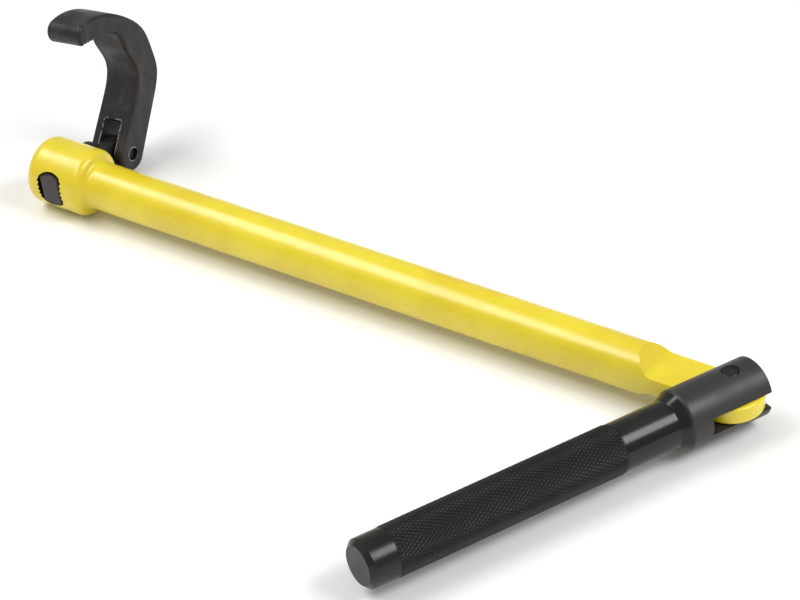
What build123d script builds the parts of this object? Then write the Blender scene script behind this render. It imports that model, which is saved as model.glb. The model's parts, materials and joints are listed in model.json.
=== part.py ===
from build123d import *
import os
from math import cos, radians, sin, sqrt

# Folding hook wrench for hydrant couplings and caps.
# Origin: centre of the head's flat end face. +X runs along the arm to the handle hinge,
# +Z is up, parallel to the hinge pin. The jaw pivots on the far (+Y) side of the head.
# All lengths are in millimetres and all angles in degrees.

# ---- arm: head barrel, round shank and hinge tongue
arm_diameter = 25.0
head_diameter = 35.4
head_length = 35.0
head_end_round = 6.0
head_shoulder_round = 4.5
head_shoulder_share = 0.88
neck_fillet = 3.0
cross_hole_x = 17.0
hinge_x = 401.0
tongue_thickness = 8.4
tongue_flat_length = 37.0
tongue_shoulder_length = 8.5
tongue_shoulder_fillet = 5.0
hinge_eye_radius = 16.5
hinge_eye_edge_round = 1.4
hinge_eye_fillet = 5.0

# ---- serrated cross hole in the head and the carrier that sits in it
cross_hole_diameter = 19.6
hole_flat_half_width = 6.75
tooth_pitch = 2.5
tooth_depth = 1.0
tooth_count = 5
carrier_flank_gap = 0.25
carrier_round_gap = 0.15
carrier_tooth_gap = 0.2
carrier_near_recess = 0.8
carrier_pilot_length = 3.0
carrier_pilot_inset = 0.7
carrier_turn = 7.0
carrier_head_gap = 1.8
carrier_end_chamfer = 0.6
carrier_neck_length = 18.0
jaw_pivot_drop = 5.4
jaw_eye_radius = 8.0
jaw_eye_width = 8.2

# ---- set screw that locks the carrier, from under the head
lock_screw_diameter = 6.0
lock_screw_gap = 0.05
lock_screw_socket_flats = 3.0
lock_screw_socket_depth = 3.2
lock_screw_point_depth = 1.9
lock_screw_point_radius = 1.7
lock_screw_tip_radius = 0.3
lock_screw_bite = 0.9
lock_screw_recess = 0.9

# ---- jaw
jaw_width = 22.0
jaw_edge_round = 1.8
jaw_nose_round = 1.5
jaw_clevis_depth = 15.2
jaw_clevis_corner_round = 1.0
jaw_base_radius = 9.2
jaw_leg_tilt = 40.0
jaw_tooth_pitch = 2.3
jaw_tooth_depth = 1.3
jaw_tooth_count = 4
jaw_tooth_margin = 1.2
jaw_pin_diameter = 7.0
jaw_pin_recess = 1.8
jaw_pin_chamfer = 0.5

# ---- cone spring washers beside the carrier's eye
washer_outer_diameter = 13.0
washer_pin_gap = 0.15
washer_thickness = 0.8
washer_height = 1.33
washer_eye_gap = 0.25
washer_ear_gap = 0.02

# ---- handle, folded back beside the arm at rest
fold_angle = 113.0
fork_diameter = 29.4
fork_front_length = 14.0
fork_web_length = 10.0
fork_cone_length = 6.0
fork_edge_chamfer = 0.8
fork_side_gap = 0.4
fork_fold_gap = 1.65
fork_eye_gap = 1.5
neck_diameter = 23.6
neck_end_length = 66.0
grip_root_diameter = 23.4
grip_step_chamfer = 0.3
end_band_diameter = 23.8
end_band_length = 15.0
handle_length = 203.0
handle_end_chamfer = 2.4
hinge_pin_diameter = 8.0
hinge_pin_chamfer = 0.5
hinge_pin_rim_groove = 0.45

running_clearance = 0.06

# overlap that makes two joined bodies one solid, and how far a cut runs past a face
weld = 1.0

# distance under which two edges count as lying in the same place
same_place = 0.01

arm_radius = arm_diameter / 2
head_radius = head_diameter / 2
fork_radius = fork_diameter / 2
hole_radius = cross_hole_diameter / 2
shank_half_width = hole_flat_half_width - carrier_flank_gap
shank_radius = hole_radius - carrier_round_gap

# the carrier passes through the head and holds the jaw's pivot beyond it
carrier_near_y = -(head_radius - carrier_near_recess)
carrier_shoulder_y = head_radius + carrier_head_gap
jaw_pivot_y = carrier_shoulder_y + carrier_neck_length
jaw_clevis_width = jaw_eye_width + 2 * (washer_eye_gap + washer_height + washer_ear_gap)

# the lock screw bites a little into the carrier and stays below the head's surface
lock_screw_tip_z = -shank_radius + lock_screw_bite
lock_screw_length = head_radius - lock_screw_recess + lock_screw_tip_z

# the fork's slot takes the tongue, and is deep enough for the folded handle to clear its sides
slot_height = tongue_thickness + 2 * fork_side_gap
tongue_half_width = sqrt(arm_radius**2 - (tongue_thickness / 2) ** 2)
slot_half_width = sqrt(fork_radius**2 - (slot_height / 2) ** 2)
fold_reach = tongue_half_width + fork_fold_gap - slot_half_width * cos(radians(fold_angle))
fork_slot_depth = max(fold_reach / sin(radians(fold_angle)), hinge_eye_radius + fork_eye_gap)
fork_rear_length = fork_slot_depth + fork_web_length

# the hinge pin's flat ends are level with the fork's surface beside its hole
pin_half_length = sqrt(fork_radius**2 - (hinge_pin_diameter / 2) ** 2)


def bar_x(radius, x_start, x_end):
    """Round bar along X between two stations."""
    bar = extrude(Plane.YZ * Circle(radius), amount=x_end - x_start)
    return Pos(x_start, 0, 0) * bar


def bar_z(radius, height):
    """Round bar along Z, centred on the origin."""
    return Cylinder(radius, height)


def turned_x(outline):
    """Solid of revolution about X from (x, radius) points that start and end on the axis."""
    profile = make_face(Polyline(*outline, close=True))
    return revolve(profile, Axis.X)


def tooth_ridges(root_half_width, height, length, shrink):
    """Triangular ridges along Y, on both flanks of a block whose flanks face +X and -X."""
    base_half = tooth_pitch / 2 - shrink
    ridges = []
    for side in (-1, 1):
        for index in range(tooth_count):
            level = (index - (tooth_count - 1) / 2) * tooth_pitch
            inner = side * (root_half_width - weld)
            root = side * root_half_width
            crest = side * (root_half_width + height)
            ridge = Polyline(
                (inner, level - base_half),
                (root, level - base_half),
                (crest, level),
                (root, level + base_half),
                (inner, level + base_half),
                close=True,
            )
            section = Plane.XZ * make_face(ridge)
            ridges.append(extrude(section, amount=length / 2, both=True))
    return ridges


def flatted_bar(radius, half_width, y_start, y_end):
    """Bar along Y with a round section cut flat at X = -half_width and +half_width."""
    length = y_end - y_start
    middle = (y_start + y_end) / 2
    bar = Rot(90, 0, 0) * Cylinder(radius, length)
    slab = Box(2 * half_width, length, 4 * radius)
    return Pos(0, middle, 0) * (bar & slab)


def set_in_head(shape):
    """Move a shape from the cross hole's own frame into the head, turned about the hole's axis."""
    return Pos(cross_hole_x, 0, 0) * (Rot(0, -carrier_turn, 0) * shape)


def set_on_pivot(shape):
    """Move a shape from the jaw pivot's own frame into place on the carrier."""
    return set_in_head(Pos(0, jaw_pivot_y, -jaw_pivot_drop) * shape)


def build_arm():
    head = bar_x(head_radius, 0, head_length)
    end_rim = head.edges().group_by(Axis.X)[0]
    head = fillet(end_rim, head_end_round)
    shoulder_rim = head.edges().filter_by(GeomType.CIRCLE).group_by(Axis.X)[-1]
    shoulder_limit = head_shoulder_share * (head_radius - arm_radius)
    head = fillet(shoulder_rim, min(head_shoulder_round, shoulder_limit))
    shank = bar_x(arm_radius, head_length / 2, hinge_x)
    arm = head + shank
    joint_rim = [
        edge
        for edge in arm.edges().filter_by(GeomType.CIRCLE)
        if abs(edge.radius - arm_radius) < same_place
        and abs(edge.center().X - head_length) < same_place
    ]
    arm = fillet(joint_rim, neck_fillet)

    # flats above and below the tongue, each behind a sloping shoulder
    flat_start = hinge_x - tongue_flat_length
    slope_start = flat_start - tongue_shoulder_length
    half_thickness = tongue_thickness / 2
    reach = hinge_x + 2 * hinge_eye_radius
    waste_outline = make_face(
        Polyline(
            (slope_start, arm_radius),
            (flat_start, half_thickness),
            (reach, half_thickness),
            (reach, 2 * arm_radius),
            (slope_start, 2 * arm_radius),
            close=True,
        )
    )
    foot = waste_outline.vertices().sort_by_distance((flat_start, half_thickness, 0))[0]
    waste_outline = fillet(foot, tongue_shoulder_fillet)
    waste = extrude(Plane.XZ * waste_outline, amount=2 * arm_radius, both=True)
    arm = arm - waste - mirror(waste, Plane.XY)

    eye = bar_z(hinge_eye_radius, tongue_thickness)
    eye = fillet(eye.edges().filter_by(GeomType.CIRCLE), hinge_eye_edge_round)
    eye = Pos(hinge_x, 0, 0) * eye
    arm = arm + eye
    arm = arm + web_fillets()
    hinge_bore = bar_z(hinge_pin_diameter / 2 + running_clearance, 2 * tongue_thickness)
    arm = arm - Pos(hinge_x, 0, 0) * hinge_bore

    # serrated cross hole through the head
    hole = flatted_bar(hole_radius, hole_flat_half_width, -head_diameter, head_diameter)
    for ridge in tooth_ridges(hole_flat_half_width, tooth_depth, 2 * head_diameter, 0):
        hole = hole + ridge
    screw_hole = bar_z(lock_screw_diameter / 2, head_radius)
    hole = hole + Pos(0, 0, -head_radius) * screw_hole
    return arm - set_in_head(hole)


def web_fillets():
    """Rounded webs that blend the tongue's sides into the larger hinge eye."""
    centre_y = tongue_half_width + hinge_eye_fillet
    centre_x = -sqrt((hinge_eye_radius + hinge_eye_fillet) ** 2 - centre_y**2)
    touch = hinge_eye_radius / (hinge_eye_radius + hinge_eye_fillet)
    blend_height = tongue_thickness - 2 * hinge_eye_edge_round
    wedge = make_face(
        Polyline(
            (centre_x, tongue_half_width),
            (centre_x * touch, centre_y * touch),
            (centre_x * touch + weld, tongue_half_width - weld),
            (centre_x, tongue_half_width - weld),
            close=True,
        )
    )
    web = extrude(wedge, amount=blend_height / 2, both=True)
    web = web - Pos(centre_x, centre_y, 0) * bar_z(hinge_eye_fillet, tongue_thickness)
    web = Pos(hinge_x, 0, 0) * web
    return web + mirror(web, Plane.XZ)


def build_carrier():
    toothed_start = carrier_near_y + carrier_pilot_length
    shank = flatted_bar(shank_radius, shank_half_width, toothed_start, carrier_shoulder_y)
    pilot = flatted_bar(
        shank_radius - carrier_pilot_inset,
        shank_half_width - carrier_pilot_inset,
        carrier_near_y,
        toothed_start + weld,
    )
    pilot = chamfer(pilot.edges().group_by(Axis.Y)[0], carrier_end_chamfer)
    shank = shank + pilot
    toothed_length = head_radius - toothed_start
    toothed_middle = (head_radius + toothed_start) / 2
    ridges = tooth_ridges(
        shank_half_width,
        tooth_depth - carrier_tooth_gap,
        toothed_length,
        carrier_tooth_gap,
    )
    for ridge in ridges:
        shank = shank + Pos(0, toothed_middle, 0) * ridge

    neck_length = carrier_neck_length + weld
    neck = Box(jaw_eye_width, neck_length, 2 * jaw_eye_radius)
    neck = Pos(0, jaw_pivot_y - neck_length / 2, -jaw_pivot_drop) * neck
    pivot = Pos(0, jaw_pivot_y, -jaw_pivot_drop)
    eye = pivot * (Rot(0, 90, 0) * Cylinder(jaw_eye_radius, jaw_eye_width))
    carrier = shank + neck + eye
    bore_radius = jaw_pin_diameter / 2 + running_clearance
    bore = Rot(0, 90, 0) * Cylinder(bore_radius, 2 * jaw_eye_width)
    carrier = carrier - pivot * bore

    # cone-shaped dimple for the lock screw's point
    dimple = lock_screw_cone(lock_screw_gap)
    carrier = carrier - Pos(0, 0, lock_screw_tip_z + lock_screw_gap) * dimple
    return set_in_head(carrier)


def lock_screw_cone(growth):
    """The lock screw's point, tip at the origin; growth widens it for the dimple it bears in."""
    return Cone(
        lock_screw_point_radius + growth,
        lock_screw_tip_radius + growth,
        lock_screw_point_depth,
        align=(Align.CENTER, Align.CENTER, Align.MAX),
    )


def build_lock_screw():
    radius = lock_screw_diameter / 2 - lock_screw_gap
    body_length = lock_screw_length - lock_screw_point_depth
    body_bottom = lock_screw_tip_z - lock_screw_length
    body = Cylinder(radius, body_length, align=(Align.CENTER, Align.CENTER, Align.MIN))
    screw = Pos(0, 0, body_bottom) * body + Pos(0, 0, lock_screw_tip_z) * lock_screw_cone(0)
    socket_radius = lock_screw_socket_flats / sqrt(3)
    socket = extrude(RegularPolygon(socket_radius, 6), amount=lock_screw_socket_depth)
    screw = screw - Pos(0, 0, body_bottom) * socket
    return set_in_head(screw)


def tangent_from(point, radius, side):
    """Where the tangent from a point touches a circle about the pivot; side is -1 or +1."""
    y, z = point
    distance = sqrt(y * y + z * z)
    share = radius / distance
    across = side * sqrt(1 - share * share)
    unit_y = y / distance
    unit_z = z / distance
    return (
        radius * (share * unit_y + across * unit_z),
        radius * (share * unit_z - across * unit_y),
    )


def jaw_outline():
    """Side view of the jaw in (Y, Z) from its pivot: straight leg, bow and blunt tip."""
    inner_leg_top = (6.2, 22.6)
    inner_bow = (16.0, 43.5)
    inner_turn = (11.0, 56.2)
    teeth_start = (-8.8, 71.4)
    tip_low = (-19.4, 72.4)
    tip_front = (-21.2, 78.0)
    tip_top = (-15.0, 83.0)
    outer_crown = (-4.3, 82.6)
    outer_turn = (19.0, 70.2)
    outer_side = (28.6, 58.6)
    outer_bow = (31.9, 44.5)
    outer_leg_top = (26.5, 22.0)
    inner_foot = tangent_from(inner_leg_top, jaw_base_radius, -1)
    outer_foot = tangent_from(outer_leg_top, jaw_base_radius, 1)
    inner_run = Vector(*inner_leg_top) - Vector(*inner_foot)
    outer_run = Vector(*outer_leg_top) - Vector(*outer_foot)
    tooth_run = Vector(*tip_low) - Vector(*teeth_start)
    tilt = radians(jaw_leg_tilt)
    base_bottom = (-jaw_base_radius * sin(tilt), -jaw_base_radius * cos(tilt))
    edges = [
        Line(inner_foot, inner_leg_top),
        Spline(
            inner_leg_top,
            inner_bow,
            inner_turn,
            teeth_start,
            tangents=[(inner_run.X, inner_run.Y), (tooth_run.X, tooth_run.Y)],
        ),
        Line(teeth_start, tip_low),
        ThreePointArc(tip_low, tip_front, tip_top),
        Spline(
            tip_top,
            outer_crown,
            outer_turn,
            outer_side,
            outer_bow,
            outer_leg_top,
            tangents=[(1.0, 0.15), (-outer_run.X, -outer_run.Y)],
        ),
        Line(outer_leg_top, outer_foot),
        ThreePointArc(outer_foot, base_bottom, inner_foot),
    ]
    outline = make_face(Wire(edges))
    nose = outline.vertices().sort_by_distance((*tip_low, 0))[0]
    return fillet(nose, jaw_nose_round), teeth_start, tip_low


def build_jaw():
    outline, teeth_start, tip_low = jaw_outline()
    jaw = extrude(Plane.YZ * outline, amount=jaw_width / 2, both=True)
    rims = [
        edge
        for edge in jaw.edges()
        if abs(abs(edge.center().X) - jaw_width / 2) < same_place
    ]
    jaw = fillet(rims, jaw_edge_round)

    # teeth along the underside of the tip
    run = Vector(teeth_start[0] - tip_low[0], teeth_start[1] - tip_low[1])
    along = run.normalized()
    inward = Vector(-along.Y, along.X)
    for index in range(jaw_tooth_count):
        start = Vector(*tip_low) + along * (jaw_tooth_margin + index * jaw_tooth_pitch)
        end = start + along * jaw_tooth_pitch
        root = start + inward * jaw_tooth_depth
        corners = [start, root, end, end - inward * weld, start - inward * weld]
        notch = make_face(Polyline(*[(c.X, c.Y) for c in corners], close=True))
        jaw = jaw - extrude(Plane.YZ * notch, amount=jaw_width, both=True)

    # clevis slot up the leg
    slot_length = jaw_clevis_depth + 2 * jaw_base_radius
    slot = Box(jaw_clevis_width, 4 * jaw_base_radius, slot_length)
    slot = Pos(0, 0, jaw_clevis_depth - slot_length / 2) * slot
    top_corners = slot.edges().filter_by(Axis.Y).group_by(Axis.Z)[-1]
    slot = fillet(top_corners, jaw_clevis_corner_round)
    jaw = jaw - Rot(-jaw_leg_tilt, 0, 0) * slot

    jaw = jaw - Rot(0, 90, 0) * Cylinder(jaw_pin_diameter / 2, 2 * jaw_width)
    return set_on_pivot(jaw)


def build_jaw_pin():
    pin = Rot(0, 90, 0) * Cylinder(jaw_pin_diameter / 2, jaw_width - 2 * jaw_pin_recess)
    pin = chamfer(pin.edges().filter_by(GeomType.CIRCLE), jaw_pin_chamfer)
    return set_on_pivot(pin)


def build_spring_washer(side):
    """Cone washer between one ear of the jaw and the carrier's eye; side is -1 or +1."""
    bore = jaw_pin_diameter / 2 + washer_pin_gap
    rim = washer_outer_diameter / 2
    ear_face = jaw_clevis_width / 2 - washer_ear_gap
    eye_face = jaw_eye_width / 2 + washer_eye_gap
    section = make_face(
        Polyline(
            (ear_face, rim),
            (ear_face - washer_thickness, rim),
            (eye_face, bore),
            (eye_face + washer_thickness, bore),
            close=True,
        )
    )
    washer = revolve(section, Axis.X)
    if side < 0:
        washer = mirror(washer, Plane.YZ)
    return set_on_pivot(washer)


def folded(shape):
    """Turn a shape from the straight-out position to the rest position on the hinge."""
    return Pos(hinge_x, 0, 0) * (Rot(0, 0, -fold_angle) * shape)


def build_handle():
    neck_radius = neck_diameter / 2
    grip_radius = grip_root_diameter / 2
    band_radius = end_band_diameter / 2
    band_start = handle_length - end_band_length
    cone_end = fork_rear_length + fork_cone_length
    outline = [
        (-fork_front_length, 0),
        (-fork_front_length, fork_radius - fork_edge_chamfer),
        (-fork_front_length + fork_edge_chamfer, fork_radius),
        (fork_rear_length, fork_radius),
        (cone_end, neck_radius),
        (neck_end_length, neck_radius),
        (neck_end_length + grip_step_chamfer, grip_radius),
        (band_start, grip_radius),
        (band_start + grip_step_chamfer, band_radius),
        (handle_length - handle_end_chamfer, band_radius),
        (handle_length, band_radius - handle_end_chamfer),
        (handle_length, 0),
    ]
    handle = turned_x(outline)
    slot_length = fork_slot_depth + 2 * fork_radius
    slot = Box(slot_length, 3 * fork_radius, slot_height)
    handle = handle - Pos(fork_slot_depth - slot_length / 2, 0, 0) * slot
    handle = handle - bar_z(hinge_pin_diameter / 2, 3 * fork_radius)
    groove_radius = hinge_pin_diameter / 2 + hinge_pin_rim_groove
    groove = bar_z(groove_radius, fork_radius)
    for side in (-1, 1):
        groove_middle = side * (pin_half_length - hinge_pin_chamfer + fork_radius / 2)
        handle = handle - Pos(0, 0, groove_middle) * groove
    return folded(handle)


def build_hinge_pin():
    pin = bar_z(hinge_pin_diameter / 2, 2 * pin_half_length)
    pin = chamfer(pin.edges().filter_by(GeomType.CIRCLE), hinge_pin_chamfer)
    return folded(pin)


def main():
    os.makedirs("parts", exist_ok=True)
    pieces = {
        "arm": build_arm(),
        "jaw_carrier": build_carrier(),
        "carrier_lock_screw": build_lock_screw(),
        "hook_jaw": build_jaw(),
        "jaw_pivot_pin": build_jaw_pin(),
        "spring_washer_left": build_spring_washer(-1),
        "spring_washer_right": build_spring_washer(1),
        "handle": build_handle(),
        "handle_hinge_pin": build_hinge_pin(),
    }
    for name, piece in pieces.items():
        export_step(piece, f"parts/{name}.step")
        print(name, round(piece.volume, 1), [round(v, 2) for v in piece.bounding_box().size])


main()
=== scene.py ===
import json
from math import atan2, cos, radians, sin

import bpy
import numpy as np
from mathutils import Matrix, Vector


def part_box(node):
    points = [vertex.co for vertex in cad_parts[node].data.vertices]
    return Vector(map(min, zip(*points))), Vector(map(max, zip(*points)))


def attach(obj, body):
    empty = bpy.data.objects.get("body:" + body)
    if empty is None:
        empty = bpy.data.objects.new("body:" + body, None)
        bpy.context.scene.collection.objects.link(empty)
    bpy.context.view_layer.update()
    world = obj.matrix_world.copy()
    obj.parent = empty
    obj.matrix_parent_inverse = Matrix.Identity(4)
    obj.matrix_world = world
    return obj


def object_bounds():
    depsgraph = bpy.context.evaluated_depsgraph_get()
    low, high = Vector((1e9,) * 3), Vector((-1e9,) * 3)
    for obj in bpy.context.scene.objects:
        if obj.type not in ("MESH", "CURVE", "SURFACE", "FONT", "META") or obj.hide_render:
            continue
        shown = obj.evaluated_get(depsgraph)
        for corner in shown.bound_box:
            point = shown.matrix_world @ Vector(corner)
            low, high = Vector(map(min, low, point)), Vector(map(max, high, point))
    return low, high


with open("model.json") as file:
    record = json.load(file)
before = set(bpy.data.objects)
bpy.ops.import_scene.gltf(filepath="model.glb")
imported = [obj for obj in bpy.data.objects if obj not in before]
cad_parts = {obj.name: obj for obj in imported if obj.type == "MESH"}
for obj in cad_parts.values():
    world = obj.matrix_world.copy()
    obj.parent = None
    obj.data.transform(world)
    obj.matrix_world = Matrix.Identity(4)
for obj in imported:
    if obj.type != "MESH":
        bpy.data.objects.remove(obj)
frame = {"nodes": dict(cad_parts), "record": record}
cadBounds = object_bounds()
lowest, highest = [Vector(corner) for corner in cadBounds]
print("frame loaded", [tuple(round(v, 4) for v in corner) for corner in cadBounds])

# the hinge pin's node and the handle's far mount say how the folded handle lies
pinLow, pinHigh = [Vector(corner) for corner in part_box("handle_hinge_pin")]
hingeCentre = (pinLow + pinHigh) / 2
handleMount = next(m for m in frame["record"]["mounts"] if m["name"] == "handle_end_face")
handleAxis = Vector(handleMount["axis"]).normalized()
handleTurn = atan2(handleAxis.y, handleAxis.x)
handleLength = (Vector(handleMount["pos_m"]) - hingeCentre).length
jawPinLow, jawPinHigh = [Vector(corner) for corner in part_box("jaw_pivot_pin")]
jawPivot = (jawPinLow + jawPinHigh) / 2
headRadius = -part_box("arm")[0][2]


# the first helper starts a material, and each of the others adds nodes and returns what they give
def newMaterial(name):
    material = bpy.data.materials.new(name)
    material.use_nodes = True
    nodes = material.node_tree.nodes
    shader = nodes["Principled BSDF"]
    return material, nodes, material.node_tree.links, shader


def objectSpace(nodes, links, location=(0, 0, 0), turn=0.0):
    # the piece's own coordinates, moved so that location is the origin and turned back by turn about Z
    coordinates = nodes.new("ShaderNodeTexCoord")
    mapping = nodes.new("ShaderNodeMapping")
    mapping.vector_type = "TEXTURE"
    mapping.inputs["Location"].default_value = location
    mapping.inputs["Rotation"].default_value = (0, 0, turn)
    links.new(coordinates.outputs["Object"], mapping.inputs["Vector"])
    return mapping.outputs["Vector"]


def noise(nodes, links, vector, scale, detail, rough=0.55, stretch=None):
    if stretch is not None:
        product = nodes.new("ShaderNodeVectorMath")
        product.operation = "MULTIPLY"
        product.inputs[1].default_value = stretch
        links.new(vector, product.inputs[0])
        vector = product.outputs["Vector"]
    texture = nodes.new("ShaderNodeTexNoise")
    texture.inputs["Scale"].default_value = scale
    texture.inputs["Detail"].default_value = detail
    texture.inputs["Roughness"].default_value = rough
    links.new(vector, texture.inputs["Vector"])
    return texture.outputs["Fac"]


def span(nodes, links, value, fromRange, toRange):
    # carries value from one range to another along a smooth step, and holds it at both ends
    ranged = nodes.new("ShaderNodeMapRange")
    ranged.interpolation_type = "SMOOTHSTEP"
    sockets = ("From Min", "From Max", "To Min", "To Max")
    for socket, number in zip(sockets, (*fromRange, *toRange)):
        ranged.inputs[socket].default_value = number
    links.new(value, ranged.inputs["Value"])
    return ranged.outputs["Result"]


def arithmetic(nodes, links, operation, first, second=0.0):
    node = nodes.new("ShaderNodeMath")
    node.operation = operation
    for socket, value in zip(node.inputs, (first, second)):
        if isinstance(value, (int, float)):
            socket.default_value = value
        else:
            links.new(value, socket)
    return node.outputs["Value"]


def blendColours(nodes, links, share, first, second):
    mix = nodes.new("ShaderNodeMix")
    mix.data_type = "RGBA"
    links.new(share, mix.inputs["Factor"])
    for socket, value in ((mix.inputs["A"], first), (mix.inputs["B"], second)):
        if isinstance(value, tuple):
            socket.default_value = (*value, 1.0)
        else:
            links.new(value, socket)
    return mix.outputs["Result"]


def bump(nodes, links, height, distance, under=None):
    node = nodes.new("ShaderNodeBump")
    node.inputs["Strength"].default_value = 1.0
    node.inputs["Distance"].default_value = distance
    links.new(height, node.inputs["Height"])
    if under is not None:
        links.new(under, node.inputs["Normal"])
    return node.outputs["Normal"]


def splitAxes(nodes, links, vector):
    parts = nodes.new("ShaderNodeSeparateXYZ")
    links.new(vector, parts.inputs["Vector"])
    return parts.outputs["X"], parts.outputs["Y"], parts.outputs["Z"]


# the yellow enamel on the arm
enamel = {
    "colour": (0.77, 0.625, 0.022),
    "deepColour": (0.70, 0.54, 0.012),
    "bareAndShadeColour": (0.012, 0.011, 0.010),
    "cloud": (34.0, 4.0),              # noise scale and detail of the colour
    "cloudRange": (0.35, 0.7),
    "roughness": (0.26, 0.38),
    "patch": (120.0, 3.0),             # noise scale and detail of the roughness
    "patchRange": (0.3, 0.7),
    "coat": 0.35,
    "coatRoughness": 0.16,
    "swell": (48.0, 2.0),
    "swellStretch": (0.35, 1.0, 1.0),
    "swellDepth": 0.00040,             # depth of the forging's slow unevenness, metres
    "peel": (900.0, 2.0),
    "peelDepth": 0.000006,             # depth of the paint's orange peel
    "skin": 0.0002,                    # the cross hole's walls are painted near-black, standing for bare steel and for painted shade in the hole, this far below the head's surface
    "bareAndShadeSpan": (0.0065, 0.0280),      # and between these stations along the arm
}


def bareAndShadeShare(nodes, links, vector, look):
    # 1 on the cross hole's walls, which are what lies inside the head's round surface, and 0 elsewhere;
    # it marks bare steel and painted shade
    x, y, z = splitAxes(nodes, links, vector)
    ySquare = arithmetic(nodes, links, "MULTIPLY", y, y)
    zSquare = arithmetic(nodes, links, "MULTIPLY", z, z)
    sumOfSquares = arithmetic(nodes, links, "ADD", ySquare, zSquare)
    fromAxis = arithmetic(nodes, links, "SQRT", sumOfSquares)
    inside = arithmetic(nodes, links, "LESS_THAN", fromAxis, headRadius - look["skin"])
    spanStart, spanEnd = look["bareAndShadeSpan"]
    past = arithmetic(nodes, links, "GREATER_THAN", x, spanStart)
    short = arithmetic(nodes, links, "LESS_THAN", x, spanEnd)
    between = arithmetic(nodes, links, "MULTIPLY", past, short)
    return arithmetic(nodes, links, "MULTIPLY", inside, between)


def makeEnamel(look):
    material, nodes, links, shader = newMaterial("yellowEnamel")
    vector = objectSpace(nodes, links)
    cloud = noise(nodes, links, vector, *look["cloud"])
    deep = span(nodes, links, cloud, look["cloudRange"], (0, 1))
    tone = blendColours(nodes, links, deep, look["colour"], look["deepColour"])
    # bare steel and painted shade: the cross hole's walls turn near-black
    bareAndShade = bareAndShadeShare(nodes, links, vector, look)
    tone = blendColours(nodes, links, bareAndShade, tone, look["bareAndShadeColour"])
    links.new(tone, shader.inputs["Base Color"])
    patch = noise(nodes, links, vector, *look["patch"])
    roughness = span(nodes, links, patch, look["patchRange"], look["roughness"])
    links.new(roughness, shader.inputs["Roughness"])
    swell = noise(nodes, links, vector, *look["swell"], stretch=look["swellStretch"])
    uneven = bump(nodes, links, swell, look["swellDepth"])
    peel = noise(nodes, links, vector, *look["peel"])
    links.new(bump(nodes, links, peel, look["peelDepth"], under=uneven), shader.inputs["Normal"])
    shader.inputs["Coat Weight"].default_value = look["coat"]
    shader.inputs["Coat Roughness"].default_value = look["coatRoughness"]
    return material


# the black forging of the jaw, rubbed bright along its edges near the pivot
forging = {
    "colour": (0.013, 0.0115, 0.010),
    "paleColour": (0.040, 0.035, 0.031),
    "wornColour": (0.55, 0.53, 0.49),
    "streak": (90.0, 5.0, 0.6),        # noise scale, detail and roughness of the colour
    "streakStretch": (1.0, 1.0, 0.28),
    "streakRange": (0.42, 0.74),
    "roughness": (0.34, 0.52),
    "patch": (140.0, 4.0),
    "patchRange": (0.3, 0.72),
    "gloss": 0.34,
    "swell": (70.0, 2.0),
    "swellDepth": 0.0003,
    "grain": (1100.0, 3.0),
    "grainDepth": 0.00005,
    "wearRadius": 0.0013,
    "wearSamples": 6,
    "wearCosines": (0.985, 0.86),      # how far the rounded normal turns, from no wear to full wear
    "wearReach": (0.018, 0.030),       # the wear fades between these distances from the pivot, metres
    "farWear": 0.30,                   # share of the wear that edges far from the pivot still show
    "scuff": (420.0, 3.0),
    "scuffRange": (0.38, 0.60),
}


def edgeShare(nodes, links, look):
    # 0 on flats and 1 on sharp edges: how far a rounded-off normal turns from the true one
    rounded = nodes.new("ShaderNodeBevel")
    rounded.samples = look["wearSamples"]
    rounded.inputs["Radius"].default_value = look["wearRadius"]
    geometry = nodes.new("ShaderNodeNewGeometry")
    product = nodes.new("ShaderNodeVectorMath")
    product.operation = "DOT_PRODUCT"
    links.new(rounded.outputs["Normal"], product.inputs[0])
    links.new(geometry.outputs["Normal"], product.inputs[1])
    return span(nodes, links, product.outputs["Value"], look["wearCosines"], (0, 1))


def wearShare(nodes, links, vector, look):
    distance = nodes.new("ShaderNodeVectorMath")
    distance.operation = "LENGTH"
    links.new(vector, distance.inputs[0])
    near = span(nodes, links, distance.outputs["Value"], look["wearReach"], (1, look["farWear"]))
    edge = edgeShare(nodes, links, look)
    nearEdge = arithmetic(nodes, links, "MULTIPLY", edge, near)
    scuff = span(nodes, links, noise(nodes, links, vector, *look["scuff"]), look["scuffRange"], (0, 1))
    return arithmetic(nodes, links, "MULTIPLY", nearEdge, scuff)


def makeForging(look):
    material, nodes, links, shader = newMaterial("blackForging")
    vector = objectSpace(nodes, links, location=jawPivot)
    streak = noise(nodes, links, vector, *look["streak"], stretch=look["streakStretch"])
    pale = span(nodes, links, streak, look["streakRange"], (0, 1))
    tone = blendColours(nodes, links, pale, look["colour"], look["paleColour"])
    wear = wearShare(nodes, links, vector, look)
    tone = blendColours(nodes, links, wear, tone, look["wornColour"])
    links.new(tone, shader.inputs["Base Color"])
    links.new(wear, shader.inputs["Metallic"])
    shader.inputs["Specular IOR Level"].default_value = look["gloss"]
    patch = noise(nodes, links, vector, *look["patch"])
    roughness = span(nodes, links, patch, look["patchRange"], look["roughness"])
    links.new(roughness, shader.inputs["Roughness"])
    swell = bump(nodes, links, noise(nodes, links, vector, *look["swell"]), look["swellDepth"])
    grain = noise(nodes, links, vector, *look["grain"])
    links.new(bump(nodes, links, grain, look["grainDepth"], under=swell), shader.inputs["Normal"])
    return material


# the knurled stretch of the grip, measured from the hinge pin in metres; the plain end band follows it
grip = {
    "start": 0.0664,
    "end": 0.1880,
}

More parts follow.
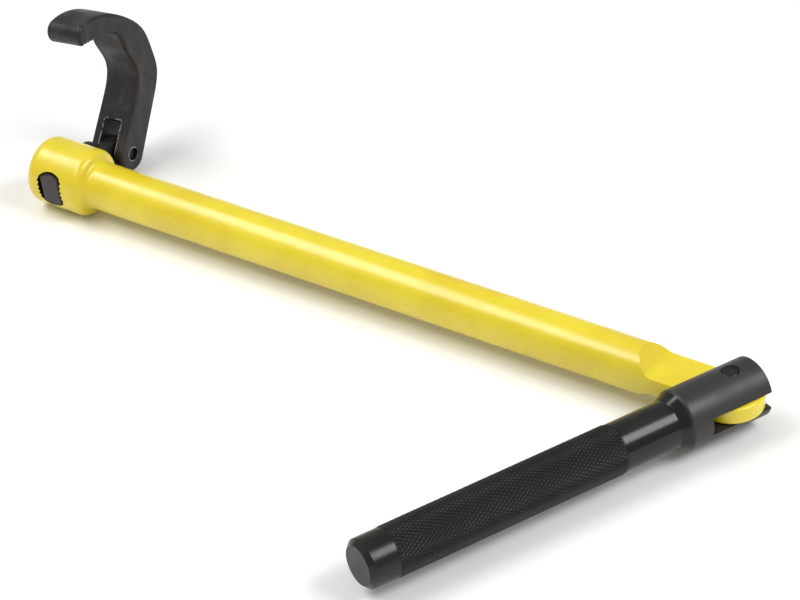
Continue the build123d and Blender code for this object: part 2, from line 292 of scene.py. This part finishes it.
# the black oxide on the turned handle
oxide = {
    "forkColour": (0.034, 0.031, 0.030),
    "neckColour": (0.010, 0.0088, 0.0084),
    "endColour": (0.016, 0.015, 0.014),
    "forkRoughness": 0.42,
    "neckRoughness": 0.15,
    "bandRoughness": 0.27,
    "forkEnd": 0.0316,                 # the fork's paler finish ends just onto the cone, metres
    "blur": 0.0006,                    # sets how softly one finish gives way to the next, metres
    "endSkin": (0.0002, 0.00005),      # depths between which the end face's colour comes in
    "smoke": (70.0, 4.0),
    "smokeStretch": (0.6, 1.0, 1.0),
    "smokeColourRange": (0.45, 0.8),
    "smokeShare": 0.5,
    "smokeRoughnessRange": (0.3, 0.7),
    "smokeRoughness": (-0.03, 0.08),
    "rings": (1.0, 3.0, 0.7),          # the lathe's fine rings, which the stretch packs along the bar
    "ringsStretch": (2600.0, 30.0, 30.0),
    "ringsDepth": 0.000010,
    "metallic": 0.2,
    "gloss": 0.42,
}


def makeOxide(look):
    material, nodes, links, shader = newMaterial("blackOxide")
    vector = objectSpace(nodes, links, location=hingeCentre, turn=handleTurn)
    along = splitAxes(nodes, links, vector)[0]
    blur = look["blur"]
    fork = span(nodes, links, along, (look["forkEnd"] - blur, look["forkEnd"] + blur), (1, 0))
    band = span(nodes, links, along, (grip["end"], grip["end"] + blur), (0, 1))
    endRange = tuple(handleLength - depth for depth in look["endSkin"])
    end = span(nodes, links, along, endRange, (0, 1))
    smoke = noise(nodes, links, vector, *look["smoke"], stretch=look["smokeStretch"])
    smoky = span(nodes, links, smoke, look["smokeColourRange"], (0, look["smokeShare"]))
    tone = blendColours(nodes, links, fork, look["neckColour"], look["forkColour"])
    tone = blendColours(nodes, links, smoky, tone, look["forkColour"])
    tone = blendColours(nodes, links, end, tone, look["endColour"])
    links.new(tone, shader.inputs["Base Color"])
    roughness = span(nodes, links, fork, (0, 1), (look["neckRoughness"], look["forkRoughness"]))
    bandExtra = arithmetic(nodes, links, "MULTIPLY", band, look["bandRoughness"] - look["neckRoughness"])
    roughness = arithmetic(nodes, links, "ADD", roughness, bandExtra)
    smokeExtra = span(nodes, links, smoke, look["smokeRoughnessRange"], look["smokeRoughness"])
    roughness = arithmetic(nodes, links, "ADD", roughness, smokeExtra)
    links.new(roughness, shader.inputs["Roughness"])
    rings = noise(nodes, links, vector, *look["rings"], stretch=look["ringsStretch"])
    links.new(bump(nodes, links, rings, look["ringsDepth"]), shader.inputs["Normal"])
    shader.inputs["Metallic"].default_value = look["metallic"]
    shader.inputs["Specular IOR Level"].default_value = look["gloss"]
    return material


# the knurled skin of the grip
knurl = {
    "rootRadius": 0.01172,
    "crestRadius": 0.01218,
    "around": 40,                      # diamonds round the grip
    "along": 37,                       # diamonds from end to end
    "steps": 6,                        # grid steps a diamond each way, an even number
    "flat": 1.15,                      # above 1 leaves small flats on the crests
    "sink": 0.0004,                    # how far both rims dip into the bar
    "colour": (0.005, 0.0045, 0.004),
    "crestColour": (0.070, 0.062, 0.054),
    "roughness": (0.34, 0.20),         # in the grooves and on the worn crests
    "rub": (60.0, 4.0),                # noise scale and detail of the wear on the crests
    "rubRange": (0.35, 0.65),
    "leastRub": 0.25,
    "topRange": (0.55, 1.0),           # heights between which a crest starts to show its wear
    "metallic": 0.3,
}


def triangleWave(phase):
    # 0 at whole numbers and 1 halfway between them
    return 1 - np.abs(2 * (phase % 1.0) - 1)


def knurlSurface(look):
    # a point's radius is the root radius plus the knurl's height, and that is the lower of two triangle
    # waves, one for each hand of helix, cut off flat near its top; both rims turn down into the bar
    columns = look["around"] * look["steps"]
    rows = look["along"] * look["steps"] + 1
    column, row = np.meshgrid(np.arange(columns), np.arange(rows))
    u = column / look["steps"]
    v = row / look["steps"]
    height = np.minimum(1, look["flat"] * np.minimum(triangleWave(u + v), triangleWave(u - v)))
    height[0] = 0
    height[-1] = 0
    radius = look["rootRadius"] + (look["crestRadius"] - look["rootRadius"]) * height
    x = grip["start"] + (grip["end"] - grip["start"]) * row / (rows - 1)
    innerRim = np.full((1, columns), look["rootRadius"] - look["sink"])
    radius = np.vstack([innerRim, radius, innerRim])
    x = np.vstack([x[:1], x, x[-1:]])
    height = np.vstack([height[:1], height, height[-1:]])
    angle = 2 * np.pi * np.arange(columns) / columns
    local = np.stack([x, radius * np.cos(angle), radius * np.sin(angle)], axis=-1)
    turn = np.array(Matrix.Rotation(handleTurn, 3, "Z"))
    points = local.reshape(-1, 3) @ turn.T + np.array(hingeCentre)
    return points, height


def knurlFaces(rings, columns, steps):
    # each grid square is cut along the groove that crosses it, so the grooves stay sharp; rows count from
    # the inner rim, one ring below the grid, and the last ring closes on the first by a plain inner wall
    row, column = np.meshgrid(np.arange(rings), np.arange(columns), indexing="ij")
    ahead = (column + 1) % columns
    above = (row + 1) % rings
    a = row * columns + column
    b = row * columns + ahead
    c = above * columns + ahead
    d = above * columns + column
    grooveAcross = ((column + row) % steps == 0)[..., None]
    first = np.where(grooveAcross, np.stack([a, b, d], -1), np.stack([a, b, c], -1))
    second = np.where(grooveAcross, np.stack([b, c, d], -1), np.stack([a, c, d], -1))
    return np.concatenate([first.reshape(-1, 3), second.reshape(-1, 3)])


def makeKnurl(look, material):
    points, height = knurlSurface(look)
    rings, columns = height.shape
    faces = knurlFaces(rings, columns, look["steps"])
    mesh = bpy.data.meshes.new("grip_knurl")
    mesh.from_pydata(points.tolist(), [], faces.tolist())
    crest = mesh.attributes.new("crest", "FLOAT", "POINT")
    crest.data.foreach_set("value", height.reshape(-1).astype(np.float32))
    mesh.update()
    piece = bpy.data.objects.new("grip_knurl", mesh)
    bpy.context.collection.objects.link(piece)
    mesh.materials.append(material)
    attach(piece, "handle_body")
    print("knurl", len(faces), "triangles")


def makeKnurlOxide(look):
    material, nodes, links, shader = newMaterial("knurledOxide")
    crest = nodes.new("ShaderNodeAttribute")
    crest.attribute_name = "crest"
    vector = objectSpace(nodes, links)
    rubNoise = noise(nodes, links, vector, *look["rub"])
    rub = span(nodes, links, rubNoise, look["rubRange"], (look["leastRub"], 1))
    top = span(nodes, links, crest.outputs["Fac"], look["topRange"], (0, 1))
    worn = arithmetic(nodes, links, "MULTIPLY", top, rub)
    tone = blendColours(nodes, links, worn, look["colour"], look["crestColour"])
    links.new(tone, shader.inputs["Base Color"])
    links.new(span(nodes, links, worn, (0, 1), look["roughness"]), shader.inputs["Roughness"])
    shader.inputs["Metallic"].default_value = look["metallic"]
    return material


# pins, jaw carrier and spring washers
steel = {
    "mottle": (260.0, 4.0),
    "mottleRange": (0.4, 0.75),
    "paleness": 1.6,                   # how much lighter the mottle's pale spots are
    "roughnessRange": (0.3, 0.7),
    "roughnessSpread": (-0.06, 0.08),
    "grain": (1500.0, 2.0),
}
pinFinish = {
    "colour": (0.016, 0.015, 0.014),
    "roughness": 0.38,
    "metallic": 0.5,
    "grainDepth": 0.00001,
}
carrierFinish = {
    "colour": (0.008, 0.007, 0.007),
    "roughness": 0.45,
    "metallic": 0.1,
    "grainDepth": 0.00003,
    "faceColour": (0.034, 0.029, 0.028),   # of its near end, paler
    "faceDepth": 0.0002,
}
springFinish = {
    "colour": (0.36, 0.34, 0.31),
    "roughness": 0.35,
    "metallic": 1.0,
    "grainDepth": 0.00001,
}


def makeSteel(name, finish, look, nearEnd=0.0):
    # a finish with a faceColour shows it at the piece's near end, whose Y is nearEnd
    material, nodes, links, shader = newMaterial(name)
    vector = objectSpace(nodes, links)
    mottle = noise(nodes, links, vector, *look["mottle"])
    paleColour = tuple(min(1.0, look["paleness"] * channel) for channel in finish["colour"])
    pale = span(nodes, links, mottle, look["mottleRange"], (0, 1))
    tone = blendColours(nodes, links, pale, finish["colour"], paleColour)
    if "faceColour" in finish:
        y = splitAxes(nodes, links, vector)[1]
        # the near end face is coloured paler than the rest of the carrier
        face = arithmetic(nodes, links, "LESS_THAN", y, nearEnd + finish["faceDepth"])
        tone = blendColours(nodes, links, face, tone, finish["faceColour"])
    links.new(tone, shader.inputs["Base Color"])
    toRange = tuple(finish["roughness"] + extra for extra in look["roughnessSpread"])
    roughness = span(nodes, links, mottle, look["roughnessRange"], toRange)
    links.new(roughness, shader.inputs["Roughness"])
    grain = noise(nodes, links, vector, *look["grain"])
    links.new(bump(nodes, links, grain, finish["grainDepth"]), shader.inputs["Normal"])
    shader.inputs["Metallic"].default_value = finish["metallic"]
    return material


def paint(node, material):
    for materialSlot in frame["nodes"][node].material_slots:
        materialSlot.material = material


paint("arm", makeEnamel(enamel))
paint("hook_jaw", makeForging(forging))
paint("handle", makeOxide(oxide))
pinSteel = makeSteel("pinSteel", pinFinish, steel)
for pinNode in ("handle_hinge_pin", "jaw_pivot_pin", "carrier_lock_screw"):
    paint(pinNode, pinSteel)
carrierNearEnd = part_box("jaw_carrier")[0][1]
paint("jaw_carrier", makeSteel("carrierSteel", carrierFinish, steel, carrierNearEnd))
springSteel = makeSteel("springSteel", springFinish, steel)
for washerNode in ("spring_washer_left", "spring_washer_right"):
    paint(washerNode, springSteel)
makeKnurl(knurl, makeKnurlOxide(knurl))
print("materials set")


# floor and light
studio = {
    "floorReach": 6.0,                 # from its middle to each side, metres
    "floorColour": (0.93, 0.93, 0.92),
    "floorRoughness": 0.9,
    "floorGloss": 0.1,
    "skyStrength": 0.44,
    "keyPower": 17.0,
    "keySize": (1.4, 0.6),
    "keyPlace": (-0.6, -0.5, 1.4),
    "sidePower": 16.0,
    "sideSize": (0.9, 0.7),
    "sidePlace": (1.35, 0.26, 1.2),
}


def makeFloor(look):
    reach = look["floorReach"]
    cornerSigns = ((-1, -1), (1, -1), (1, 1), (-1, 1))
    corners = [(across * reach, deep * reach, lowest.z) for across, deep in cornerSigns]
    mesh = bpy.data.meshes.new("studioFloor")
    mesh.from_pydata(corners, [], [(0, 1, 2, 3)])
    floor = bpy.data.objects.new("studioFloor", mesh)
    bpy.context.collection.objects.link(floor)
    material, _, _, shader = newMaterial("floorPaper")
    shader.inputs["Base Color"].default_value = (*look["floorColour"], 1.0)
    shader.inputs["Roughness"].default_value = look["floorRoughness"]
    shader.inputs["Specular IOR Level"].default_value = look["floorGloss"]
    mesh.materials.append(material)


def makeAreaLight(name, place, size, power, aim):
    light = bpy.data.lights.new(name, "AREA")
    light.shape = "RECTANGLE"
    light.size, light.size_y = size
    light.energy = power
    lamp = bpy.data.objects.new(name, light)
    lamp.location = place
    lamp.rotation_euler = (Vector(place) - aim).to_track_quat("Z", "Y").to_euler()
    bpy.context.collection.objects.link(lamp)


def makeLight(look):
    world = bpy.data.worlds.new("studioSky")
    world.use_nodes = True
    background = world.node_tree.nodes["Background"]
    background.inputs["Color"].default_value = (1, 1, 1, 1)
    background.inputs["Strength"].default_value = look["skyStrength"]
    bpy.context.scene.world = world
    middle = (lowest + highest) / 2
    makeAreaLight("keySoftbox", look["keyPlace"], look["keySize"], look["keyPower"], middle)
    makeAreaLight("sideSoftbox", look["sidePlace"], look["sideSize"], look["sidePower"], middle)


# the camera looks at target from distance metres away; its angles are in degrees, its lens in millimetres
view = {
    "target": (0.22749, -0.01027, 0.0),
    "distance": 1.4522,
    "yaw": 34.88,
    "pitch": 34.56,
    "roll": -2.88,
    "lens": 135.6,
    "sensor": 36.0,
}


def makeCamera(look):
    yaw, pitch, roll = [radians(look[name]) for name in ("yaw", "pitch", "roll")]
    back = Vector((sin(yaw) * cos(pitch), -cos(yaw) * cos(pitch), sin(pitch)))
    level = Vector((cos(yaw), sin(yaw), 0))
    up = back.cross(level)
    right = level * cos(roll) + up * sin(roll)
    top = up * cos(roll) - level * sin(roll)
    camera = bpy.data.cameras.new("studioCamera")
    camera.lens = look["lens"]
    camera.sensor_width = look["sensor"]
    holder = bpy.data.objects.new("studioCamera", camera)
    place = Vector(look["target"]) + back * look["distance"]
    axes = Matrix((right, top, back)).transposed()
    holder.matrix_world = Matrix.Translation(place) @ axes.to_4x4()
    bpy.context.collection.objects.link(holder)
    bpy.context.scene.camera = holder


makeFloor(studio)
makeLight(studio)
makeCamera(view)
bpy.context.scene.view_settings.view_transform = "Standard"
print("studio set")
